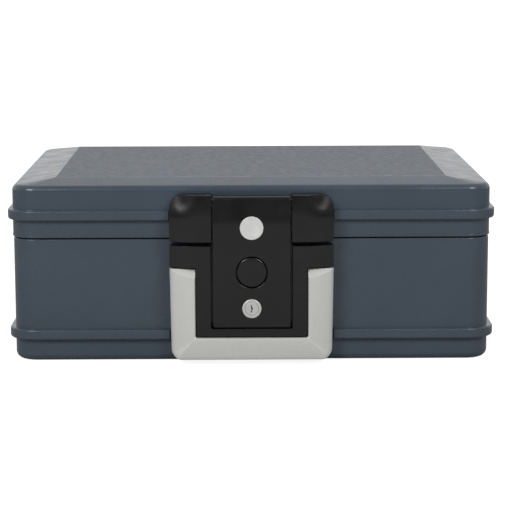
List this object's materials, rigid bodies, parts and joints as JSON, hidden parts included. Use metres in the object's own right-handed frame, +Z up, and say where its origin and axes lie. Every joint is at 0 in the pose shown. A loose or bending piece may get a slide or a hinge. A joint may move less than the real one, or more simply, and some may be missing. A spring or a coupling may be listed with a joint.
{
  "type": "fireproof document box",
  "caption": "Insulated fire-resistant document chest with a rear-hinged lid, a hinged front latch with push button and key lock, and a folding carry handle.",
  "frame": {"origin": "centre of the bounding box at floor level", "axes": "+Z up, the latch faces -Y, +X on the right of someone facing the latch"},
  "size_m": [0.405, 0.3244, 0.151],
  "materials": {
    "shell_plastic": "satin",
    "black_plastic": "satin",
    "silver_plastic": "satin",
    "inner_plastic": "matte",
    "insulation": "satin",
    "seal": "matte",
    "steel": "satin",
    "lock_metal": "satin",
    "badge": "satin"
  },
  "bodies": {
    "base": {"base_outer_shell": "shell_plastic", "base_insulation": "insulation", "base_inner_liner": "inner_plastic", "rim_gasket": "seal", "latch_plate": "black_plastic", "strike_plate": "steel", "strike_screw_1": "steel", "strike_screw_2": "steel", "latch_plate_screw_1": "steel", "latch_plate_screw_2": "steel", "latch_plate_screw_3": "steel", "latch_plate_screw_4": "steel", "base_hinge_bracket_left": "black_plastic", "base_hinge_bracket_right": "black_plastic", "hinge_pin_left": "steel", "hinge_pin_right": "steel", "base_hinge_screw_1": "steel", "base_hinge_screw_2": "steel", "base_hinge_screw_3": "steel", "base_hinge_screw_4": "steel", "handle_pin_left": "steel", "handle_pin_right": "steel"},
    "lid": {"lid_outer_shell": "shell_plastic", "lid_insulation": "insulation", "lid_inner_liner": "inner_plastic", "latch_housing": "black_plastic", "flap_hinge_pin": "steel", "housing_screw_1": "steel", "housing_screw_2": "steel", "housing_screw_3": "steel", "housing_screw_4": "steel", "lid_hinge_leaf_left": "black_plastic", "lid_hinge_leaf_right": "black_plastic", "lid_hinge_screw_1": "steel", "lid_hinge_screw_2": "steel", "lid_hinge_screw_3": "steel", "lid_hinge_screw_4": "steel"},
    "latch_flap": {"flap_cover": "black_plastic", "flap_back_plate": "black_plastic", "flap_screw_1": "steel", "flap_screw_2": "steel", "badge_disc": "badge", "lock_housing": "lock_metal", "lock_nut": "steel", "button_spring": "steel", "catch_spring": "steel"},
    "push_button": {"push_button": "black_plastic"},
    "catch_slide": {"catch_slide": "steel"},
    "lock_plug": {"lock_plug": "lock_metal", "lock_cam": "steel", "cam_screw": "steel"},
    "carry_handle": {"handle_front_cover": "silver_plastic", "handle_back_frame": "silver_plastic", "handle_screw_1": "steel", "handle_screw_2": "steel", "handle_screw_3": "steel", "handle_screw_4": "steel"}
  },
  "joints": [
    {"name": "lid_hinge", "type": "hinge", "parent": "base", "child": "lid", "pos_m": [0, 0.15775, 0.103], "axis": [-1, 0, 0], "range_deg": [0, 100]},
    {"name": "latch_flap_hinge", "type": "hinge", "parent": "lid", "child": "latch_flap", "pos_m": [0, -0.15025, 0.133], "axis": [-1, 0, 0], "range_deg": [0, 90]},
    {"name": "carry_handle_hinge", "type": "hinge", "parent": "base", "child": "carry_handle", "pos_m": [0, -0.15025, 0.07], "axis": [-1, 0, 0], "range_deg": [0, 90]},
    {"name": "push_button_slide", "type": "slide", "parent": "latch_flap", "child": "push_button", "axis": [0, 1, 0], "range_m": [-0.003, 0], "stiffness_N_per_m": 150, "deforming": ["button_spring"]},
    {"name": "catch_slide_slide", "type": "slide", "parent": "latch_flap", "child": "catch_slide", "axis": [1, 0, 0], "range_m": [0, 0.004], "deforming": ["catch_spring"]},
    {"name": "lock_plug_turn", "type": "hinge", "parent": "latch_flap", "child": "lock_plug", "pos_m": [0, -0.15525, 0.048], "axis": [0, -1, 0], "range_deg": [0, 90]}
  ],
  "couplings": [
    {"joint": "catch_slide_slide", "follows": "push_button_slide", "ratio": -1.3333}
  ]
}
